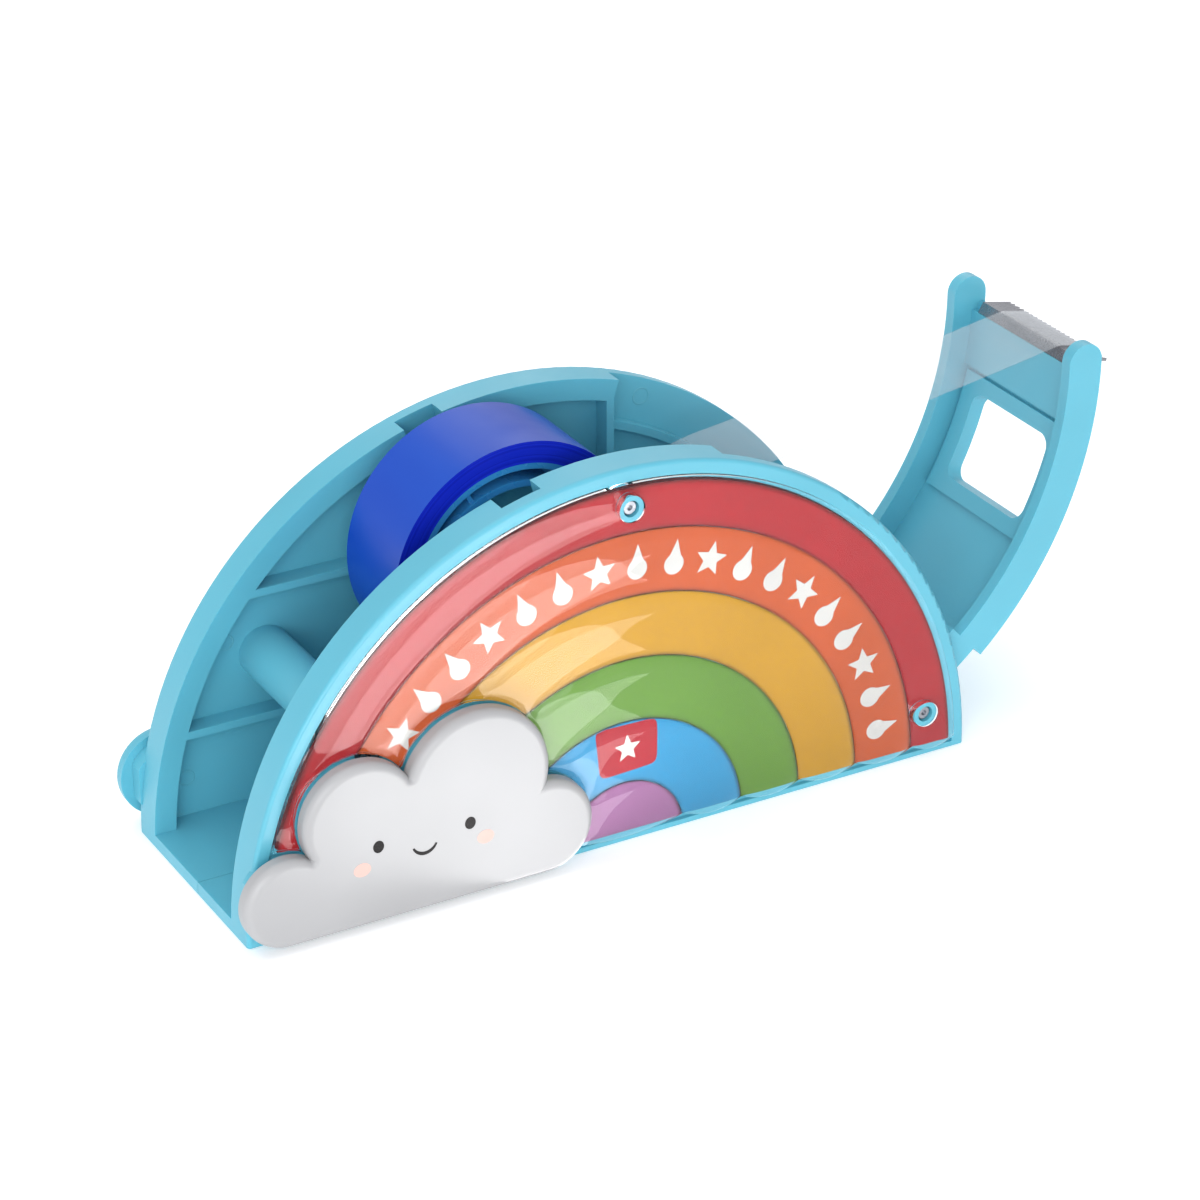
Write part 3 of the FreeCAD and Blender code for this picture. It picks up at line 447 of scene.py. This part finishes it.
def new_piece(name, points, faces, material, body="root"):
    """A mesh piece from points in millimetres."""
    mesh = bpy.data.meshes.new(name)
    mesh.from_pydata([Vector(point) * MM for point in points], [], faces)
    mesh.validate()
    tidy_normals(mesh)
    mesh.materials.append(material)
    mesh.shade_smooth()
    mesh.set_sharp_from_angle(angle=math.radians(SMOOTH_ANGLE))
    piece = bpy.data.objects.new(name, mesh)
    bpy.context.scene.collection.objects.link(piece)
    if body:
        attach(piece, body)
    return piece


def tidy_normals(mesh):
    work = bmesh.new()
    work.from_mesh(mesh)
    bmesh.ops.remove_doubles(work, verts=work.verts, dist=1e-7)
    bmesh.ops.recalc_face_normals(work, faces=work.faces)
    work.to_mesh(mesh)
    work.free()


def prism(outlines, back, front):
    """Points and faces of flat plates between two depths, from outlines in the XZ plane."""
    points, faces = [], []
    for outline in outlines:
        start, count = len(points), len(outline)
        points += [(x, back, z) for x, z in outline]
        points += [(x, front, z) for x, z in outline]
        faces.append(tuple(range(start, start + count)))
        faces.append(tuple(range(start + 2 * count - 1, start + count - 1, -1)))
        for index in range(count):
            after = (index + 1) % count
            faces.append((start + index, start + after, start + count + after, start + count + index))
    return points, faces


def mirrored_y(points):
    return [(x, -y, z) for x, y, z in points]


def both_sides(name, points, faces, material):
    new_piece(f"front_{name}", points, faces, material)
    new_piece(f"rear_{name}", mirrored_y(points), faces, material)


def circle(x, z, radius, count, squash=1.0):
    """Outline of a circle, or of an ellipse squash times as high as it is wide."""
    angles = [2 * math.pi * index / count for index in range(count)]
    return [(x + radius * math.cos(angle), z + radius * squash * math.sin(angle)) for angle in angles]


def rectangle(left, right, low, high):
    return [(left, low), (right, low), (right, high), (left, high)]


# ---------------------------------------------------------------- clear covers

COVER_BACK = FACE + 0.07
COVER_CREASE = 0.75     # thickness in the creases between the domes
COVER_DOME = 0.85       # how far a dome stands over its creases
COVER_RADIUS = 57.8
RINGS = [10, 20, 30, 40, 50, COVER_RADIUS]
INNER_MIDDLE = (0.0, 4.4)  # middle of the innermost half disc's dome
COVER_TURNS, COVER_ACROSS = 220, 14
END_HEIGHT = 2.25       # height of the cover's lower end between two rings
END_DROP = 1.2          # how much lower it is in the middle of a ring
END_STEPS = 40
SHOULDER = 2.6          # width of the rounded edge of the domes
COVER_SMOOTH_ANGLE = 28
SCREW_HOLE = 2.05       # radius of the holes round the screw bosses
CLOUD_GAP = 0.08        # gap between the cover and the cloud
CLOUD_CORNER = (-63.0, -50.0, -1.0, 3.5)  # what is cut away below the cloud's left end
BELOW_FILL = 3          # how far the cutters of the cloud's blocks reach below them
# Half lengths of the cutters; they differ, so that no two end faces lie in one plane.
LOBE_REACH, FILL_REACH, CORNER_REACH, HOLE_REACH = 6.0, 6.2, 6.4, 6.6


def end_line(radius):
    """Height of the scalloped lower end of the clear cover at a radius."""
    low = 0
    for high in RINGS:
        if radius <= high + 1e-9:
            break
        low = high
    if high == RINGS[0]:
        across = radius / high
    else:
        across = (radius - (low + high) / 2) / ((high - low) / 2)
    return END_HEIGHT - END_DROP * (1 - across * across)


def shoulder(distance):
    """How much of the dome's height is left at a distance from the cover's edge."""
    near = min(max(distance, 0.0) / SHOULDER, 1.0)
    return math.sqrt(1 - (1 - near) ** 2)


def cloud_distance(x, z):
    """How far a place on the face is from the cloud's outline, 0 inside it."""
    lobes = [math.hypot(x - cx, z - cz) - radius for cx, cz, radius in CLOUD_LOBES]
    fills = [math.hypot(max(left - x, 0, x - right), max(low - z, 0, z - high))
             for left, right, low, high in CLOUD_FILL]
    return max(min(lobes + fills), 0.0)


def cover_mesh():
    """Points and faces of the closed clear cover before the cloud and the screws are cut out."""
    turns, across = COVER_TURNS, COVER_ACROSS
    points, faces = [], []

    def add(x, z, rise):
        rise *= shoulder(cloud_distance(x, z))
        points.append((x, COVER_BACK - COVER_CREASE - rise, z))
        points.append((x, COVER_BACK, z))
        return len(points) - 2

    def swell(fraction, to_end):
        return COVER_DOME * (1 - abs(fraction) ** 3) * shoulder(to_end)

    rows = []
    low = RINGS[0]
    for high in RINGS[1:]:
        steps = range(0 if low == RINGS[0] else 1, across + 1)
        for step in steps:
            radius = low + (high - low) * step / across
            fraction = 2 * step / across - 1
            first = math.asin(end_line(radius) / radius)
            row = []
            for turn in range(turns + 1):
                share = turn / turns
                angle = first + (math.pi - 2 * first) * share
                to_end = radius * min(angle - first, math.pi - first - angle)
                row.append(add(radius * math.cos(angle), radius * math.sin(angle),
                               swell(fraction, to_end)))
            rows.append(row)
        low = high

    def sheet(a, b, c, d):
        faces.append((a, b, c, d))
        faces.append((a + 1, d + 1, c + 1, b + 1))

    for lower, upper in zip(rows, rows[1:]):
        for turn in range(turns):
            sheet(lower[turn], upper[turn], upper[turn + 1], lower[turn + 1])
        for one, other in ((lower[0], upper[0]), (lower[-1], upper[-1])):
            faces.append((one, other, other + 1, one + 1))
    outer = rows[-1]
    for one, other in zip(outer, outer[1:]):
        faces.append((one, other, other + 1, one + 1))

    # The innermost half disc is spun round its own middle, so that its lower end is rounded too.
    radius, middle = RINGS[0], INNER_MIDDLE
    inner = list(rows[0])
    first = math.asin(end_line(radius) / radius)
    edge = [(points[index][0], points[index][2]) for index in inner]
    left = -radius * math.cos(first)
    lower = []
    for step in range(1, END_STEPS):
        x = left - 2 * left * step / END_STEPS
        lower.append((x, end_line(abs(x))))
    loop = edge + lower
    previous = inner + [add(x, z, 0.0) for x, z in lower]
    for one, other in zip(previous[turns:], previous[turns + 1:] + previous[:1]):
        faces.append((one, other, other + 1, one + 1))
    for step in range(1, across):
        share = 1 - step / across
        row = []
        for x, z in loop:
            px, pz = middle[0] + (x - middle[0]) * share, middle[1] + (z - middle[1]) * share
            row.append(add(px, pz, COVER_DOME * (1 - share ** 3)))
        for index in range(len(loop)):
            after = (index + 1) % len(loop)
            sheet(previous[index], previous[after], row[after], row[index])
        previous = row
    peak = add(middle[0], middle[1], COVER_DOME)
    for index in range(len(loop)):
        after = (index + 1) % len(loop)
        faces.append((previous[index], previous[after], peak))
        faces.append((previous[after] + 1, previous[index] + 1, peak + 1))
    return points, faces


def cutter(name, outline, reach):
    """A plain prism across the front face, to cut holes with."""
    points, faces = prism([outline], -reach, reach)
    mesh = bpy.data.meshes.new(name)
    mesh.from_pydata([Vector((x, y + FACE, z)) * MM for x, y, z in points], [], faces)
    tidy_normals(mesh)
    thing = bpy.data.objects.new(name, mesh)
    bpy.context.scene.collection.objects.link(thing)
    return thing


def cut_with(piece, tools):
    """Cut the tools out of a piece and remove them."""
    for tool in tools:
        modifier = piece.modifiers.new(tool.name, "BOOLEAN")
        modifier.operation = "DIFFERENCE"
        modifier.solver = "EXACT"
        modifier.object = tool
    bpy.context.view_layer.update()
    graph = bpy.context.evaluated_depsgraph_get()
    result = bpy.data.meshes.new_from_object(piece.evaluated_get(graph))
    piece.modifiers.clear()
    piece.data = result
    for tool in tools:
        mesh = tool.data
        bpy.data.objects.remove(tool)
        bpy.data.meshes.remove(mesh)


def cloud_tools(growth):
    """Cutters in the shape of the cloud."""
    tools = [cutter(f"lobe{index}", circle(x, z, radius + growth, 72), LOBE_REACH)
             for index, (x, z, radius) in enumerate(CLOUD_LOBES)]
    for index, (left, right, low, high) in enumerate(CLOUD_FILL):
        tools.append(cutter(f"fill{index}", rectangle(left, right, low - BELOW_FILL, high), FILL_REACH))
    tools.append(cutter("corner", rectangle(*CLOUD_CORNER), CORNER_REACH))
    return tools


def make_covers(made):
    points, faces = cover_mesh()
    front = new_piece("front_cover_moulding", points, faces, made["clear"], body=None)
    holes = [cutter(f"hole{index}", circle(x, z, SCREW_HOLE, 36), HOLE_REACH)
             for index, (x, z) in enumerate(SCREWS)]
    cut_with(front, cloud_tools(CLOUD_GAP) + holes)
    mesh = front.data
    tidy_normals(mesh)
    mesh.shade_smooth()
    mesh.set_sharp_from_angle(angle=math.radians(COVER_SMOOTH_ANGLE))
    rear_mesh = mesh.copy()
    for vertex in rear_mesh.vertices:
        vertex.co.y = -vertex.co.y
    rear_mesh.flip_normals()
    rear = bpy.data.objects.new("rear_cover_moulding", rear_mesh)
    bpy.context.scene.collection.objects.link(rear)
    for piece, node in ((front, "front_clear_cover"), (rear, "rear_clear_cover")):
        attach(piece, "root")
        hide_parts(node)


# ---------------------------------------------------------------- printed marks

MARK_LINE = 45.0        # radius of the line of marks along the orange band
MARK_COUNT = 19
MARK_ANGLES = (150.0, 9.0)
STAR_REACH = 2.7
STAR_WAIST = 0.45       # a star's inner radius over its outer one
DROP_RADIUS = 1.6
DROP_SHIFT = 0.8        # how far a drop's round end lies inside the line
DROP_TIP = 2.3          # height of its tip over its radius
DROP_START, DROP_TURN, DROP_STEPS = 125, 290, 30  # its round end, in degrees
PATCH_CORNERS = [(-4.6, 19.3, 1.3), (5.6, 19.1, 1.3), (5.5, 12.0, 1.3), (-4.0, 11.6, 1.3)]
PATCH_STAR = (0.6, 15.5, 2.2)
CORNER_STEPS = 6
SUNK = 0.02             # how far printed pieces reach into what they lie on
MARK_RAISE, PATCH_RAISE, INK_RAISE, CHEEK_RAISE = 0.04, 0.03, 0.03, 0.02


def star(x, z, radius, turn):
    result = []
    for index in range(10):
        reach = radius if index % 2 == 0 else radius * STAR_WAIST
        angle = turn + math.pi / 2 + index * math.pi / 5
        result.append((x + reach * math.cos(angle), z + reach * math.sin(angle)))
    return result


def drop(x, z, radius, turn):
    """A rain drop whose tip points along turn."""
    result = []
    for index in range(DROP_STEPS + 1):
        angle = math.radians(DROP_START + index * DROP_TURN / DROP_STEPS)
        result.append((radius * math.cos(angle), radius * math.sin(angle)))
    result.append((0.0, radius * DROP_TIP))
    return [(x + u * math.cos(turn) - v * math.sin(turn), z + u * math.sin(turn) + v * math.cos(turn))
            for u, v in result]


def make_marks(made):
    """White drops and stars along the orange band, and a plain red patch on the blue one."""
    outlines = []
    first, last = MARK_ANGLES
    for index in range(MARK_COUNT):
        angle = math.radians(first + index * (last - first) / (MARK_COUNT - 1))
        x, z = MARK_LINE * math.cos(angle), MARK_LINE * math.sin(angle)
        turn = angle - math.pi / 2
        if index % 3 == 1:
            outlines.append(star(x, z, STAR_REACH, turn))
        else:
            low = (x - DROP_SHIFT * math.cos(angle), z - DROP_SHIFT * math.sin(angle))
            outlines.append(drop(*low, DROP_RADIUS, turn))
    points, faces = prism(outlines, BAND_TOP + SUNK, BAND_TOP - MARK_RAISE)
    both_sides("white_marks", points, faces, made["mark"])

    patch_top = BAND_TOP - PATCH_RAISE
    points, faces = prism([rounded_outline(PATCH_CORNERS)], BAND_TOP + SUNK, patch_top)
    both_sides("red_patch", points, faces, made["patch"])
    points, faces = prism([star(*PATCH_STAR, 0.0)], patch_top, patch_top - PATCH_RAISE)
    both_sides("patch_star", points, faces, made["mark"])


def rounded_outline(corners):
    """An outline through corners (x, z, radius) with rounded corners."""
    result = []
    count = len(corners)
    for index, (x, z, radius) in enumerate(corners):
        here = Vector((x, z))
        before = (Vector(corners[index - 1][:2]) - here).normalized()
        after = (Vector(corners[(index + 1) % count][:2]) - here).normalized()
        first, last = here + before * radius, here + after * radius
        for step in range(CORNER_STEPS + 1):
            share = step / CORNER_STEPS
            point = first.lerp(here, share).lerp(here.lerp(last, share), share)
            result.append((point.x, point.y))
    return result


STROKE_END = 0.55       # a brush line's width at its ends over its full width


def stroke(path, half):
    """Outline of a brush line of half width along a path, thinner at its ends."""
    left, right = [], []
    last = len(path) - 1
    for index, (x, z) in enumerate(path):
        ahead = path[min(index + 1, last)]
        behind = path[max(index - 1, 0)]
        along = Vector((ahead[0] - behind[0], ahead[1] - behind[1])).normalized()
        share = index / last
        width = half * (STROKE_END + (1 - STROKE_END) * math.sin(math.pi * share))
        left.append((x - along.y * width, z + along.x * width))
        right.append((x + along.y * width, z - along.x * width))
    return left + right[::-1]


EYES = [(-41.4, 13.3), (-27.0, 13.0)]
EYE_RADIUS, EYE_SQUASH = 0.85, 1.15
CHEEKS = [(-44.0, 10.3), (-24.6, 10.1)]
CHEEK_RADIUS, CHEEK_SQUASH = 1.35, 0.8
MOUTH = (-34.2, 12.6)
MOUTH_REACH = (2.1, 2.4)  # half width and depth of the arc that the mouth is part of
MOUTH_ANGLES = range(-60, 61, 8)
MOUTH_HALF = 0.28


def make_face(made):
    """A plain smiling face: two round eyes, a mouth line and two cheeks."""
    eyes = [circle(x, z, EYE_RADIUS, 28, EYE_SQUASH) for x, z in EYES]
    mouth = []
    for degrees in MOUTH_ANGLES:
        angle = math.radians(degrees)
        mouth.append((MOUTH[0] + MOUTH_REACH[0] * math.sin(angle),
                      MOUTH[1] - MOUTH_REACH[1] * math.cos(angle)))
    points, faces = prism(eyes + [stroke(mouth, MOUTH_HALF)], CLOUD_FACE + SUNK, CLOUD_FACE - INK_RAISE)
    new_piece("face_lines", points, faces, made["ink"])
    cheeks = [circle(x, z, CHEEK_RADIUS, 32, CHEEK_SQUASH) for x, z in CHEEKS]
    points, faces = prism(cheeks, CLOUD_FACE + SUNK, CLOUD_FACE - CHEEK_RAISE)
    new_piece("face_cheeks", points, faces, made["cheek"])


# ---------------------------------------------------------------- strip of tape

FILM_START = (7.122, 33.938)  # where the strip leaves the roll
FILM_BEND = 26.0        # radius of its bend there
FILM_LEAVE, FILM_SLOPE = 65.0, 8.5  # its slope before and after the bend, in degrees
FILM_KINK = (82.24, 56.9)  # where it meets the blade
FILM_TAIL = (4.35, -0.87)  # from there to its end
FILM_SAG = 0.35
FILM_CREASES = [(0.42, 0.05), (0.63, 0.06)]  # place along the run and height
CREASE_REACH = 0.012
FILM_HALF = 7.6
FILM_WALL = 0.12
BEND_STEPS, RUN_STEPS, TAIL_STEPS, FILM_ACROSS = 14, 60, 6, 12


def strip_path():
    """The strip's line in the XZ plane: the bend beside the roll, the run, and the end on the blade."""
    leave, slope = math.radians(FILM_LEAVE), math.radians(FILM_SLOPE)
    line = []
    for step in range(BEND_STEPS + 1):
        angle = leave + (slope - leave) * step / BEND_STEPS
        line.append((FILM_START[0] + FILM_BEND * (math.sin(leave) - math.sin(angle)),
                     FILM_START[1] + FILM_BEND * (math.cos(angle) - math.cos(leave))))
    start, end = line[-1], FILM_KINK
    for step in range(1, RUN_STEPS + 1):
        share = step / RUN_STEPS
        rise = -FILM_SAG * math.sin(math.pi * share)
        for place, height in FILM_CREASES:
            rise += height * math.exp(-((share - place) / CREASE_REACH) ** 2)
        line.append((start[0] + (end[0] - start[0]) * share,
                     start[1] + (end[1] - start[1]) * share + rise))
    for step in range(1, TAIL_STEPS + 1):
        share = step / TAIL_STEPS
        line.append((end[0] + FILM_TAIL[0] * share, end[1] + FILM_TAIL[1] * share))
    return line


def make_film(made):
    """The free strip: two skins along its line, closed at the edges and ends."""
    line = strip_path()
    across = FILM_ACROSS
    points, faces = [], []
    for layer in (0.0, FILM_WALL):
        for index, (x, z) in enumerate(line):
            ahead = line[min(index + 1, len(line) - 1)]
            behind = line[max(index - 1, 0)]
            along = Vector((ahead[0] - behind[0], ahead[1] - behind[1])).normalized()
            for step in range(across + 1):
                y = FILM_HALF * (2 * step / across - 1)
                points.append((x - along.y * layer, y, z + along.x * layer))
    wide = across + 1
    size = len(line) * wide
    for index in range(len(line) - 1):
        for step in range(across):
            a = index * wide + step
            faces.append((a, a + 1, a + 1 + wide, a + wide))
            faces.append((a + size, a + size + wide, a + size + wide + 1, a + size + 1))
        for edge in (index * wide, index * wide + across):
            faces.append((edge, edge + wide, edge + wide + size, edge + size))
    for step in range(across):
        for row in (0, (len(line) - 1) * wide):
            faces.append((row + step, row + step + 1, row + step + 1 + size, row + step + size))
    film = new_piece("tape_film", points, faces, made["film"], body=None)
    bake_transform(film)
    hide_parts("tape_strip")


# ---------------------------------------------------------------- moulding marks

BEAD_HALF = 0.13        # half the width of an ejector mark's ring
BEAD_HEIGHT = 0.07
BEAD_AROUND, BEAD_SECTION = 36, 8
# Each ejector mark of the shells: x, z and radius.
EJECTOR_MARKS = [(-53.2, 8.1, 1.2), (23.1, 52.3, 1.3), (-46.0, 28.5, 1.2), (6.0, 9.0, 1.3),
                 (40.0, 26.0, 1.2)]


def ring_mark(x, z, radius, depth, inward):
    """A faint raised ring left by an ejector pin on a plate: a low round bead."""
    points, faces = [], []
    around, section = BEAD_AROUND, BEAD_SECTION
    for index in range(around):
        angle = 2 * math.pi * index / around
        for part in range(section):
            swing = 2 * math.pi * part / section
            reach = radius + BEAD_HALF * math.cos(swing)
            points.append((x + reach * math.cos(angle), depth + inward * BEAD_HEIGHT * math.sin(swing),
                           z + reach * math.sin(angle)))
    for index in range(around):
        after = (index + 1) % around
        for part in range(section):
            further = (part + 1) % section
            faces.append((index * section + part, after * section + part, after * section + further,
                          index * section + further))
    return points, faces


def make_ejector_marks(made):
    points, faces = [], []
    for x, z, radius in EJECTOR_MARKS:
        more, rings = ring_mark(x, z, radius, -INNER, -1)
        faces += [tuple(index + len(points) for index in face) for face in rings]
        points += more
    new_piece("rear_ejector_marks", points, faces, made["body"])
    new_piece("front_ejector_marks", mirrored_y(points), faces, made["body"])


# ---------------------------------------------------------------- build

def soften(node, width):
    """Round the sharp edges of a CAD node a little."""
    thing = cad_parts[node]
    modifier = thing.modifiers.new("edges", "BEVEL")
    modifier.width = width * MM
    modifier.segments = 2
    modifier.limit_method = "ANGLE"
    modifier.angle_limit = math.radians(SOFT_ANGLE)


for node, width in SOFT_EDGES.items():
    soften(node, width)
make_camera()
made = make_materials()
make_studio()
make_floor()
paint_nodes(made)
make_covers(made)
make_marks(made)
make_face(made)
make_film(made)
make_ejector_marks(made)
